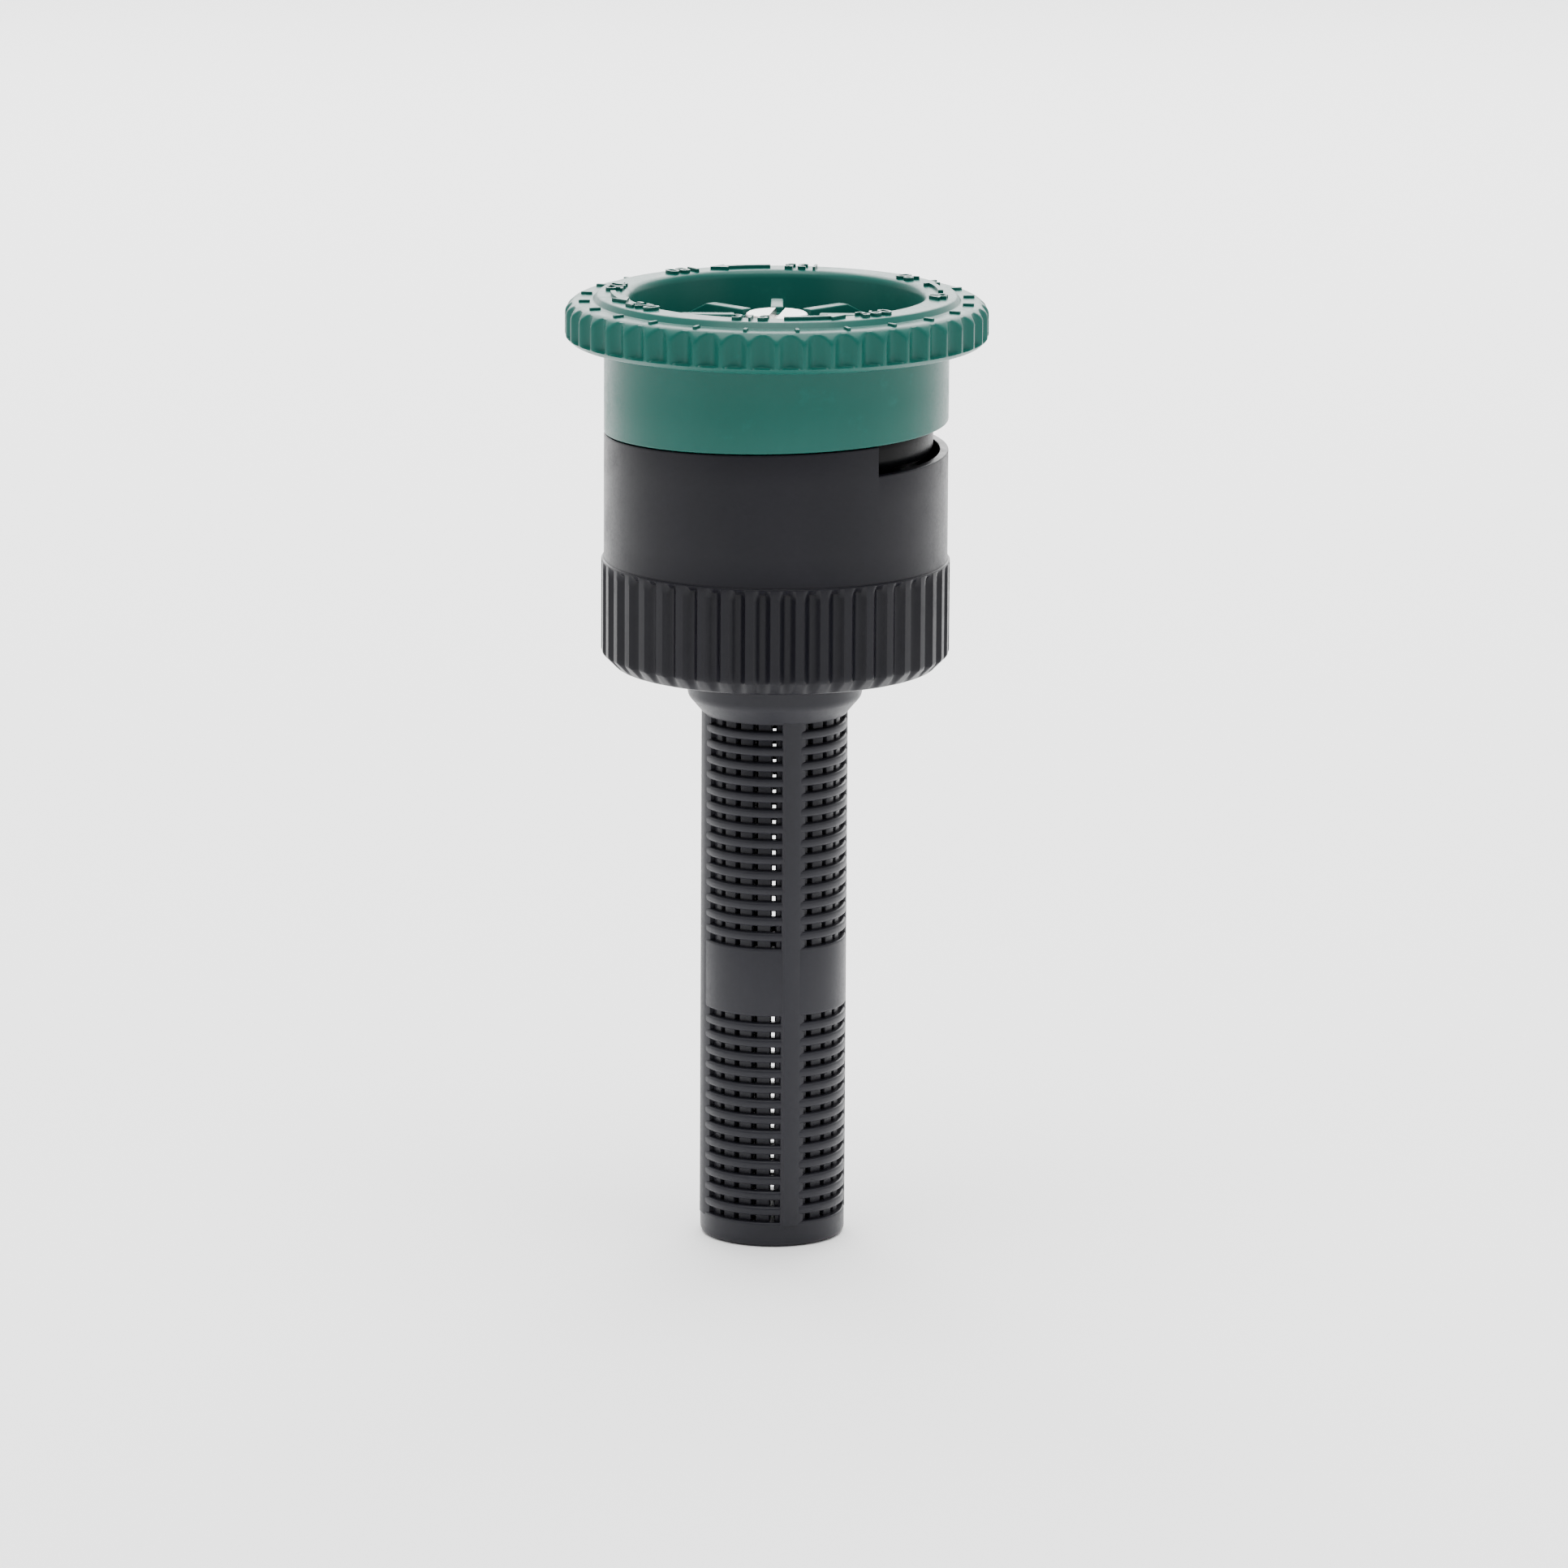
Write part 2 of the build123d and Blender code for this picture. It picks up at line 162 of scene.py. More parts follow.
# ---- camera and light ----------------------------------------------------------------------------
CAMERA_AT = (0.6, -547.0, 103.3)
CAMERA_PITCH_DEG = 12.27
CAMERA_ROLL_DEG = 0.325
LENS_MM = 207.3
FRONT_LIGHT = 0.13
BACK_LIGHT = 2.0
TOP_LIGHT = 1.6
SENSOR_MM = 36
FLOOR_WHITE = 0.97
FLOOR_SIZE = 3            # metres
LAMPS = {                 # place and size in metres, and power in watts
    "back": ((0.0, 0.5, 0.35), 0.6, 6.0),
    "top": ((0.0, -0.05, 0.6), 0.5, 5.0),
    "left": ((-0.5, -0.25, 0.2), 0.4, 0.6),
    "right": ((0.5, -0.25, 0.2), 0.4, 0.7),
}

# ---- mould marks, in metres ----------------------------------------------------------------------
GRAIN = 0.0000035
FLOW_MARKS = 0.5          # strength of the faint flow marks


# ---- small tools for node trees ------------------------------------------------------------------
def put(tree, kind, inputs=None, **settings):
    """One node, with its settings, and its inputs linked or filled in."""
    node = tree.nodes.new(kind)
    for key, value in settings.items():
        setattr(node, key, value)
    for key, value in (inputs or {}).items():
        socket = node.inputs[key]
        if isinstance(value, bpy.types.NodeSocket):
            tree.links.new(value, socket)
        else:
            socket.default_value = value
    return node


def sum_of(tree, operation, *values):
    """The result of one step of arithmetic."""
    return put(tree, "ShaderNodeMath", dict(enumerate(values)), operation=operation).outputs[0]


def new_tree(name, numbers):
    """An empty Geometry Nodes tree with a mesh in, a material and named numbers, and a mesh out."""
    tree = bpy.data.node_groups.new(name, "GeometryNodeTree")
    face = tree.interface
    face.new_socket("Geometry", in_out="INPUT", socket_type="NodeSocketGeometry")
    for label, kind in numbers.items():
        face.new_socket(label, in_out="INPUT", socket_type=kind)
    face.new_socket("Material", in_out="INPUT", socket_type="NodeSocketMaterial")
    face.new_socket("Geometry", in_out="OUTPUT", socket_type="NodeSocketGeometry")
    return tree, tree.nodes.new("NodeGroupInput").outputs


def finish_tree(tree, geometry, material):
    """Realised, painted and sent to the output."""
    realised = put(tree, "GeometryNodeRealizeInstances", {"Geometry": geometry}).outputs[0]
    painted = put(tree, "GeometryNodeSetMaterial", {"Geometry": realised, "Material": material}).outputs[0]
    put(tree, "NodeGroupOutput", {0: painted})
    return tree


def repeat_tree():
    """Copies of a part, each turned and lifted a little more than the last."""
    tree, given = new_tree("repeated_part", {"Count": "NodeSocketInt", "First Turn": "NodeSocketFloat",
                                             "Turn": "NodeSocketFloat", "Rise": "NodeSocketFloat"})
    order = put(tree, "GeometryNodeInputIndex").outputs[0]
    turn = sum_of(tree, "ADD", sum_of(tree, "MULTIPLY", order, given["Turn"]), given["First Turn"])
    height = sum_of(tree, "MULTIPLY", order, given["Rise"])
    place = put(tree, "ShaderNodeCombineXYZ", {"Z": height}).outputs[0]
    facing = put(tree, "ShaderNodeCombineXYZ", {"Z": turn}).outputs[0]
    points = put(tree, "GeometryNodePoints", {"Count": given["Count"], "Position": place}).outputs[0]
    copies = put(tree, "GeometryNodeInstanceOnPoints",
                 {"Points": points, "Instance": given["Geometry"], "Rotation": facing}).outputs[0]
    return finish_tree(tree, copies, given["Material"])


def flute_tree():
    """Evenly spaced hollow flutes round the axis, pared out of a turned piece where it stands proud."""
    sizes = ("Radius", "Depth", "Share", "Low", "High", "Fade")
    tree, given = new_tree("fluted_edge", {"Count": "NodeSocketInt", **{s: "NodeSocketFloat" for s in sizes}})
    position = put(tree, "GeometryNodeInputPosition").outputs[0]
    split = put(tree, "ShaderNodeSeparateXYZ", {0: position}).outputs
    flat = put(tree, "ShaderNodeCombineXYZ", {"X": split["X"], "Y": split["Y"]}).outputs[0]
    radius = put(tree, "ShaderNodeVectorMath", {0: flat}, operation="LENGTH").outputs["Value"]
    angle = sum_of(tree, "ARCTAN2", split["Y"], split["X"])
    step = sum_of(tree, "MULTIPLY", angle, sum_of(tree, "DIVIDE", given["Count"], tau))
    across = sum_of(tree, "ABSOLUTE", sum_of(tree, "SUBTRACT", sum_of(tree, "FRACT", step), 0.5))
    part = sum_of(tree, "DIVIDE", across, sum_of(tree, "MULTIPLY", given["Share"], 0.5))
    hollow = sum_of(tree, "MAXIMUM", sum_of(tree, "SUBTRACT", 1.0, sum_of(tree, "POWER", part, 2.0)), 0.0)

    def fade(edge, operation):
        full = sum_of(tree, operation, edge, given["Fade"])
        return put(tree, "ShaderNodeMapRange", {0: split["Z"], 1: edge, 2: full},
                   interpolation_type="SMOOTHSTEP").outputs[0]

    up = fade(given["Low"], "ADD")
    down = fade(given["High"], "SUBTRACT")
    depth = sum_of(tree, "MULTIPLY", sum_of(tree, "MULTIPLY", given["Depth"], hollow),
                   sum_of(tree, "MULTIPLY", up, down))
    limit = sum_of(tree, "SUBTRACT", given["Radius"], depth)
    ratio = sum_of(tree, "DIVIDE", sum_of(tree, "MINIMUM", radius, limit),
                   sum_of(tree, "MAXIMUM", radius, 1e-6))
    pared = put(tree, "ShaderNodeCombineXYZ", {"X": sum_of(tree, "MULTIPLY", split["X"], ratio),
                "Y": sum_of(tree, "MULTIPLY", split["Y"], ratio), "Z": split["Z"]}).outputs[0]
    moved = put(tree, "GeometryNodeSetPosition",
                {"Geometry": given["Geometry"], "Position": pared}).outputs[0]
    return finish_tree(tree, moved, given["Material"])


def thread_tree():
    """A screw thread's ridge: a three-sided section along a rising coil, closed at both ends."""
    sizes = ("Turns", "Pitch", "Radius", "Depth", "Bottom")
    tree, given = new_tree("thread_ridge", {s: "NodeSocketFloat" for s in sizes})
    height = sum_of(tree, "MULTIPLY", given["Turns"], given["Pitch"])
    coil = put(tree, "GeometryNodeCurveSpiral", {"Resolution": 72, "Rotations": given["Turns"],
               "Start Radius": given["Radius"], "End Radius": given["Radius"], "Height": height,
               "Reverse": True}).outputs[0]
    section = put(tree, "GeometryNodeCurvePrimitiveCircle",
                  {"Resolution": 3, "Radius": given["Depth"]}).outputs[0]
    ridge = put(tree, "GeometryNodeCurveToMesh", {0: coil, 1: section, "Fill Caps": True}).outputs[0]
    up = put(tree, "ShaderNodeCombineXYZ", {"Z": given["Bottom"]}).outputs[0]
    lifted = put(tree, "GeometryNodeTransform", {"Geometry": ridge, "Translation": up}).outputs[0]
    return finish_tree(tree, lifted, given["Material"])


REPEAT = repeat_tree()
FLUTES = flute_tree()
THREAD = thread_tree()


# ---- small tools for meshes ----------------------------------------------------------------------
def as_object(name, mesh):
    """A finished mesh as an object at the origin, smooth except at its real edges."""
    mesh.shade_smooth()
    mesh.set_sharp_from_angle(angle=radians(SHARP_DEG))
    made = bpy.data.objects.new(name, mesh)
    bpy.context.scene.collection.objects.link(made)
    return made


def closed_mesh(name, build):
    """A mesh from a bmesh function that works in millimetres, with doubles merged and faces outwards."""
    bm = bmesh.new()
    build(bm)
    bmesh.ops.remove_doubles(bm, verts=bm.verts, dist=1e-4)
    bmesh.ops.dissolve_degenerate(bm, edges=bm.edges, dist=1e-5)
    bmesh.ops.recalc_face_normals(bm, faces=bm.faces)
    bmesh.ops.scale(bm, vec=(MM, MM, MM), verts=bm.verts)
    mesh = bpy.data.meshes.new(name)
    bm.to_mesh(mesh)
    bm.free()
    return mesh


def softened(corners, steps=4):
    """An outline's corners (radius, height, round, follow) rounded off, as (radius, height, follow)."""
    points = []
    count = len(corners)
    for i, (r, z, radius, follow) in enumerate(corners):
        here = Vector((r, z))
        before = Vector(corners[i - 1][:2]) - here
        after = Vector(corners[(i + 1) % count][:2]) - here
        if radius <= 0 or not before.length or not after.length:
            points.append((r, z, follow))
            continue
        reach = min(radius, before.length * 0.45, after.length * 0.45)
        start = here + before.normalized() * reach
        end = here + after.normalized() * reach
        for k in range(steps + 1):
            t = k / steps
            p = start * (1 - t) ** 2 + here * 2 * t * (1 - t) + end * t ** 2
            points.append((p.x, p.y, follow))
    return points


def turned(corners, columns, start_deg=0.0, pitch=0.0, closed=True, steps=4):
    """A bmesh function for a turned shell. Rows that follow the ramp rise by its pitch in one turn."""
    rows = softened(corners, steps) if closed else corners

    def build(bm):
        turns = [i / columns for i in range(columns + 1)] + [0.0]
        grid = []
        for turn in turns:
            a = radians(start_deg) + tau * turn
            grid.append([bm.verts.new((r * cos(a), r * sin(a), z + follow * pitch * turn))
                         for r, z, follow in rows])
        count = len(rows)
        for left, right in zip(grid, grid[1:]):
            for j in range(count if closed else count - 1):
                k = (j + 1) % count
                bm.faces.new((left[j], right[j], right[k], left[k]))
    return build


def bevelled_box(bm, low, high, bevel):
    """A box with its edges rounded off."""
    made = bmesh.ops.create_cube(bm, size=1.0)["verts"]
    size = Vector(high) - Vector(low)
    bmesh.ops.scale(bm, vec=size, verts=made)
    bmesh.ops.translate(bm, vec=(Vector(high) + Vector(low)) / 2, verts=made)
    edges = list({e for v in made for e in v.link_edges})
    bmesh.ops.bevel(bm, geom=edges, offset=bevel, segments=2, profile=0.5, affect="EDGES")


def prism(bm, outline, low, high, place=lambda u, v, w: (u, v, w)):
    """A prism on an outline of (u, v) points, from w low to w high."""
    sides = [[bm.verts.new(place(u, v, w)) for u, v in outline] for w in (low, high)]
    bm.faces.new(sides[0])
    bm.faces.new(sides[1][::-1])
    for i in range(len(outline)):
        j = (i + 1) % len(outline)
        bm.faces.new((sides[0][i], sides[0][j], sides[1][j], sides[1][i]))


def grown(name, mesh, tree, material, **inputs):
    """A mesh put through a Geometry Nodes tree, as a plain mesh."""
    holder = bpy.data.objects.new(name, mesh)
    bpy.context.scene.collection.objects.link(holder)
    modifier = holder.modifiers.new(name, "NODES")
    modifier.node_group = tree
    keys = {item.name: item.identifier for item in tree.interface.items_tree if item.in_out == "INPUT"}
    for label, value in inputs.items():
        modifier[keys[label.replace("_", " ")]] = value
    modifier[keys["Material"]] = material
    result = bpy.data.meshes.new_from_object(holder.evaluated_get(bpy.context.evaluated_depsgraph_get()))
    bpy.data.objects.remove(holder)
    return result


def joined(name, meshes, material):
    """Several meshes as one object."""
    bm = bmesh.new()
    for mesh in meshes:
        bm.from_mesh(mesh)
    for face in bm.faces:
        face.material_index = 0
    whole = bpy.data.meshes.new(name)
    bm.to_mesh(whole)
    bm.free()
    whole.materials.clear()
    whole.materials.append(material)
    return as_object(name, whole)


# ---- finishes ------------------------------------------------------------------------------------
def new_finish(name, **fixed):
    """A material, its tree, its shader with the fixed values set, and its pattern coordinates."""
    finish = bpy.data.materials.new(name)
    finish.use_nodes = True
    tree = finish.node_tree
    shader = tree.nodes["Principled BSDF"]
    for key, value in fixed.items():
        shader.inputs[key.replace("_", " ")].default_value = value
    where = put(tree, "ShaderNodeTexCoord").outputs["Object"]
    return finish, tree, shader, where


def stretched(tree, where, scale):
    """The coordinates, scaled."""
    return put(tree, "ShaderNodeMapping", {"Vector": where, "Scale": scale}).outputs[0]


def noise(tree, where, scale, detail=4.0, roughness=0.6):
    """A noise value between 0 and 1."""
    return put(tree, "ShaderNodeTexNoise", {"Vector": where, "Scale": scale, "Detail": detail,
                                            "Roughness": roughness}).outputs["Fac"]


def spread(tree, value, low, high, start=0.3, end=0.7):
    """A value mapped from its usual span to a new one."""
    return put(tree, "ShaderNodeMapRange", {0: value, 1: start, 2: end, 3: low, 4: high}).outputs[0]


def blended(tree, share, first, second):
    """A colour between two others."""
    mix = put(tree, "ShaderNodeMix", data_type="RGBA")
    tree.links.new(share, mix.inputs[0])
    for socket, colour in ((mix.inputs[6], first), (mix.inputs[7], second)):
        if isinstance(colour, bpy.types.NodeSocket):
            tree.links.new(colour, socket)
        else:
            socket.default_value = (*colour, 1)
    return mix.outputs[2]


def moulded_plastic(name, colour, worn, rough, **fixed):
    """Injection-moulded plastic: faint flow marks, fine mould grain and rubbed patches."""
    finish, tree, shader, where = new_finish(name, **fixed)
    cloud = noise(tree, stretched(tree, where, (180, 180, 60)), 1.0, 5)
    speck = noise(tree, where, 5200, 3)
    rubbed = noise(tree, where, 420, 6, 0.7)
    share = spread(tree, cloud, 0.0, FLOW_MARKS, 0.35, 0.7)
    tint = blended(tree, share, colour, worn)
    pale = [min(1, c * 1.5 + 0.002) for c in worn]
    scuffed = blended(tree, spread(tree, rubbed, 0.0, 0.35, 0.58, 0.78), tint, pale)
    tree.links.new(scuffed, shader.inputs["Base Color"])
    rough_speck = spread(tree, speck, rough - 0.04, rough + 0.05)
    rough_all = sum_of(tree, "ADD", rough_speck, spread(tree, rubbed, 0.0, 0.12, 0.5, 0.75))
    tree.links.new(rough_all, shader.inputs["Roughness"])
    bump = put(tree, "ShaderNodeBump", {"Strength": 0.45, "Distance": GRAIN, "Height": speck})
    tree.links.new(bump.outputs[0], shader.inputs["Normal"])
    return finish


def turned_steel(name, colour):
    """Stainless steel off a lathe: rings from the tool and an uneven polish."""
    finish, tree, shader, where = new_finish(name, Metallic=1.0)
    split = put(tree, "ShaderNodeSeparateXYZ", {0: where}).outputs
    flat = put(tree, "ShaderNodeCombineXYZ", {"X": split["X"], "Y": split["Y"]}).outputs[0]
    out = put(tree, "ShaderNodeVectorMath", {0: flat}, operation="LENGTH").outputs["Value"]
    along = put(tree, "ShaderNodeCombineXYZ", {"X": out, "Y": split["Z"]}).outputs[0]
    rings = noise(tree, along, 30000, 2)
    smear = noise(tree, where, 1500, 5)
    tree.links.new(blended(tree, smear, colour, [c * 0.72 for c in colour]), shader.inputs["Base Color"])
    rough = sum_of(tree, "ADD", spread(tree, rings, 0.16, 0.3), spread(tree, smear, 0.0, 0.14))
    tree.links.new(rough, shader.inputs["Roughness"])
    bump = put(tree, "ShaderNodeBump", {"Strength": 0.6, "Distance": 0.000004, "Height": rings})
    tree.links.new(bump.outputs[0], shader.inputs["Normal"])
    return finish


def seal_rubber(name):
    """Black nitrile rubber: matt, with dust and a faint mould texture."""
    finish, tree, shader, where = new_finish(name, Specular_IOR_Level=0.35)
    dust = noise(tree, where, 2600, 6)
    tree.links.new(blended(tree, spread(tree, dust, 0, 0.5), (0.012, 0.012, 0.013), (0.05, 0.05, 0.048)),
                   shader.inputs["Base Color"])
    tree.links.new(spread(tree, dust, 0.55, 0.8), shader.inputs["Roughness"])
    bump = put(tree, "ShaderNodeBump", {"Strength": 0.5, "Distance": 0.000006, "Height": dust})
    tree.links.new(bump.outputs[0], shader.inputs["Normal"])
    return finish


GREEN = moulded_plastic("collar_green_plastic", (0.002, 0.070, 0.055), (0.004, 0.085, 0.068), 0.32,
                        Specular_IOR_Level=0.2)
BLACK = moulded_plastic("body_black_plastic", (0.004, 0.004, 0.0065), (0.007, 0.0065, 0.010), 0.34,
                        Specular_IOR_Level=0.18)
# Painted shade: the core's black is darker and less shiny than the body's black. It stands in for the shade
# inside the slot where the core shows.
CORE_BLACK_PAINTED_SHADE = moulded_plastic("core_black_plastic_with_painted_shade", (0.0015, 0.0015, 0.002), (0.003, 0.003, 0.0035), 0.34,
                      Specular_IOR_Level=0.08)
SLATE = moulded_plastic("filter_grey_plastic", (0.012, 0.012, 0.016), (0.018, 0.018, 0.023), 0.38,
                        Specular_IOR_Level=0.2)
IVORY = moulded_plastic("plug_ivory_plastic", (0.58, 0.57, 0.5), (0.66, 0.64, 0.58), 0.42)
STEEL = turned_steel("stainless_steel", (0.64, 0.62, 0.60))
RUBBER = seal_rubber("seal_rubber")


# ---- the collar ----------------------------------------------------------------------------------
def collar():
    """Turning collar: fluted flange, bowl with spokes, hub, and the skirt whose edge is a one-turn ramp."""
    edge = RIM_Z + RAMP_PITCH * REST_ARC_DEG / 360 + RAMP_GAP
    step_deg = RAMP_START_DEG + REST_ARC_DEG
    # The straight stretches have extra rows where the flutes fade, so that there are points to pare.
    corners = [
        (BODY_R, edge, 0.1, 1), (BODY_R, edge + 2.2, 0, 1), (BODY_R, 9.8, 0, 0), (BODY_R, FLANGE_Z, 0.3, 0),
        (FLANGE_LOW_R, FLANGE_Z, 0.12, 0), (COLLAR_R, FLANGE_Z + 0.36, 0.12, 0),
        (COLLAR_R, FLANGE_Z + 0.6, 0, 0), (COLLAR_R, FLANGE_Z + 0.9, 0, 0), (COLLAR_R, FLANGE_Z + 1.3, 0, 0),
        (COLLAR_R, TOP_Z - 0.52, 0.3, 0), (FLANGE_TOP_R, TOP_Z, 0.3, 0), (CROWN_FOOT_R, TOP_Z, 0.08, 0),
        (CROWN_R, CROWN_Z, 0.12, 0), (BOWL_R, CROWN_Z, 0.5, 0), (BOWL_WALL_R, BOWL_WALL_Z, 0, 0),
        (BOWL_FLOOR_R, BOWL_FLOOR_Z, 0.7, 0), (COLLAR_HUB_R, BOWL_FLOOR_Z, 0.3, 0),
        (COLLAR_HUB_R, HUB_STEP_Z, 0.1, 0), (HUB_TIP_R, HUB_STEP_Z, 0.05, 0),
        (HUB_TIP_R, HUB_TIP_Z, 0.15, 0), (COLLAR_BORE_R, HUB_TIP_Z, 0.12, 0),
        (COLLAR_BORE_R, SEAL_TOP_Z, 0, 0), (SEAL_GROOVE_R, SEAL_TOP_Z, 0, 0),
        (SEAL_GROOVE_R, SEAL_LOW_Z, 0, 0), (COLLAR_BORE_R, SEAL_LOW_Z, 0, 0),
        (COLLAR_BORE_R, HUB_LOW_Z, 0.1, 0), (COLLAR_HUB_R, HUB_LOW_Z, 0.1, 0),
        (COLLAR_HUB_R, FLOOR_LOW_Z, 0.2, 0), (LIP_R, FLOOR_LOW_Z, 0.3, 0),
        (LIP_R, edge + 1.9, 0, 1), (LIP_R, edge, 0.1, 1)]
    shell = closed_mesh("collar_shell", turned(corners, SCALLOPS * 14, step_deg, RAMP_PITCH))
    shell = grown("collar_shell", shell, FLUTES, GREEN, Count=SCALLOPS, Radius=COLLAR_R * MM,
                  Depth=SCALLOP_DEPTH * MM, Share=SCALLOP_SHARE,
                  Low=(FLANGE_Z + 0.3) * MM, High=(TOP_Z + 1) * MM, Fade=0.14 * MM)

    def spoke(bm):
        tip_r, root_r, flat_r, outer_r = 2.6, 3.3, 5.8, 8.9
        foot_z, step_z, end_z, flat_z = 9.5, 11.4, 12.4, 13.85
        half_w = 0.4
        outline = ((root_r, foot_z), (outer_r, foot_z), (outer_r, end_z), (flat_r, flat_z),
                   (tip_r, flat_z), (tip_r, step_z), (root_r, step_z))
        prism(bm, outline, -half_w, half_w, place=lambda x, z, y: (x, y, z))
        bmesh.ops.bevel(bm, geom=list(bm.edges), offset=0.1, segments=3, profile=0.5, affect="EDGES")
    spokes = grown("spokes", closed_mesh("spoke", spoke), REPEAT, GREEN, Count=SPOKES, First_Turn=pi / 2,
                   Turn=tau / SPOKES, Rise=0.0)
    return joined("arc_collar_shell", [shell, spokes] + dial_marks(), GREEN)


def dial_marks():
    """Raised marks on the collar's top face: ticks, the arc's degrees and four arrows."""
    def tick(bm):
        bevelled_box(bm, (11.5, -0.12, TOP_Z - DIAL_SUNK), (12.2, 0.12, TOP_Z + TICK_PROUD), 0.04)

    def arrow(bm):
        half_shaft, half_head = 0.16, 0.55
        head_deg, tip_deg = 5, 11
        span = [radians(a) for a in (-11, -7, -3, 1, head_deg)]
        rim = [(r * cos(a), r * sin(a))
               for r, order in ((DIAL_R - half_shaft, span), (DIAL_R + half_shaft, span[::-1]))
               for a in order]
        head = [(DIAL_R - half_head, radians(head_deg)), (DIAL_R, radians(tip_deg)),
                (DIAL_R + half_head, radians(head_deg))]
        tip = [(r * cos(a), r * sin(a)) for r, a in head]
        outline = rim[:len(span)] + tip + rim[len(span):]
        prism(bm, outline, CROWN_Z - DIAL_SUNK, CROWN_Z + DIAL_PROUD)
    ticks = grown("ticks", closed_mesh("tick", tick), REPEAT, GREEN, Count=TICKS,
                  First_Turn=radians(RAMP_START_DEG), Turn=tau / TICKS, Rise=0.0)
    arrows = grown("arrows", closed_mesh("arrow", arrow), REPEAT, GREEN, Count=ARROWS,
                   First_Turn=radians(FIRST_NUMBER_DEG + NUMBER_STEP_DEG / 2), Turn=tau / ARROWS, Rise=0.0)
    numbers = [number(str(NUMBER_STEP_DEG * (i + 1)), FIRST_NUMBER_DEG + NUMBER_STEP_DEG * i)
               for i in range(NUMBERS)]
    return [ticks, arrows] + numbers


def number(text, azimuth_deg):
    """A raised number on the top face, its foot towards the rim."""
    writing = bpy.data.curves.new("number_" + text, "FONT")
    writing.body = text
    writing.size = NUMBER_SIZE
    writing.align_x = "CENTER"
    writing.align_y = "CENTER"
    writing.extrude = (DIAL_PROUD + DIAL_SUNK) / 2
    writing.resolution_u = 3
    holder = bpy.data.objects.new("number_" + text, writing)
    bpy.context.scene.collection.objects.link(holder)
    mesh = bpy.data.meshes.new_from_object(holder.evaluated_get(bpy.context.evaluated_depsgraph_get()))
    bpy.data.objects.remove(holder)
    place = Matrix.Scale(MM, 4) @ Matrix.Rotation(radians(azimuth_deg), 4, "Z") @ Matrix.Translation(
        (DIAL_R, 0, CROWN_Z + DIAL_PROUD / 2 - DIAL_SUNK / 2)) @ Matrix.Rotation(pi / 2, 4, "Z")
    mesh.transform(place)
    mesh.materials.clear()
    return mesh


# ---- the body ------------------------------------------------------------------------------------
def body():
    """Body: chamfered, fluted foot, drum with the lower ramp, web, hub and the riser thread."""
    corners = [
        (MOUTH_BORE_R, FOOT_Z, 0.12, 0), (MOUTH_R, FOOT_Z, 0.15, 0),
        (FOOT_R, FOOT_Z + FOOT_CHAMFER, 0.25, 0), (FOOT_R, FOOT_Z + 1.2, 0, 0),
        (FOOT_R, FOOT_TOP_Z - 1.1, 0, 0), (FOOT_R, FOOT_TOP_Z - 0.7, 0, 0),
        (FOOT_R, FOOT_TOP_Z - 0.4, 0, 0), (FOOT_R, FOOT_TOP_Z, 0.1, 0),
        (BODY_R, FOOT_TOP_Z + 0.02, 0.05, 0), (BODY_R, 0.5, 0, 0),
        (BODY_R, RIM_Z - 2, 0, 1), (BODY_R, RIM_Z, 0.1, 1), (LIP_R, RIM_Z, 0.1, 1), (LIP_R, 5.0, 0.1, 0),
        (CHAMBER_FLOOR_R, WEB_TOP_Z, 0.2, 0), (HUB_R, WEB_TOP_Z, 0.2, 0), (HUB_R, HUB_TOP_Z, 0.1, 0),
        (STEM_R, HUB_TOP_Z, 0.05, 0), (STEM_R, COUNTERBORE_Z, 0.05, 0),
        (COUNTERBORE_R, COUNTERBORE_Z, 0.05, 0), (COUNTERBORE_R, WEB_Z, 0.1, 0),
        (SEAT_BORE_R, WEB_Z, 0.2, 0), (SEAT_BORE_R, 0, 0.1, 0),
        (THREAD_MAJOR_R, 0, 0.05, 0), (THREAD_MAJOR_R, FOOT_Z + 0.4, 0.05, 0)]
    shell = closed_mesh("body_shell", turned(corners, FOOT_GROOVES * 12, RAMP_START_DEG, RAMP_PITCH))
    shell = grown("body_shell", shell, FLUTES, BLACK, Count=FOOT_GROOVES, Radius=FOOT_R * MM,
                  Depth=FOOT_GROOVE_DEPTH * MM, Share=FOOT_GROOVE_SHARE,
                  Low=(FOOT_Z - 1) * MM, High=(FOOT_TOP_Z - 0.1) * MM, Fade=0.3 * MM)
    ridge = grown("thread_ridge", bpy.data.meshes.new("empty"), THREAD, BLACK, Turns=THREAD_TURNS,
                  Pitch=THREAD_PITCH * MM, Radius=(THREAD_MAJOR_R - 0.12) * MM, Depth=0.36 * MM,
                  Bottom=(FOOT_Z + 0.75) * MM)
    return joined("nozzle_body_shell", [shell, ridge], BLACK)


def core():
    """Core: the disc with a rounded edge that shows in the slot, and the stem above it."""
    corners = [
        (SCREW_BORE_R, STEM_FOOT_Z, 0, 0), (STEM_R, STEM_FOOT_Z, 0.1, 0), (STEM_R, HUB_TOP_Z, 0, 0),
        (CORE_R, HUB_TOP_Z, CORE_ROUND, 0), (CORE_R, CORE_TOP_Z, CORE_ROUND, 0),
        (CORE_DISH_R, CORE_DISH_Z, 0.3, 0), (STEM_R, CORE_DISH_Z, 0.1, 0),
        (STEM_R, STEM_TOP_Z, 0.15, 0), (SCREW_BORE_R, STEM_TOP_Z, 0.1, 0)]
    return joined("core_shell", [closed_mesh("core_shell", turned(corners, 256, steps=10))], CORE_BLACK_PAINTED_SHADE)


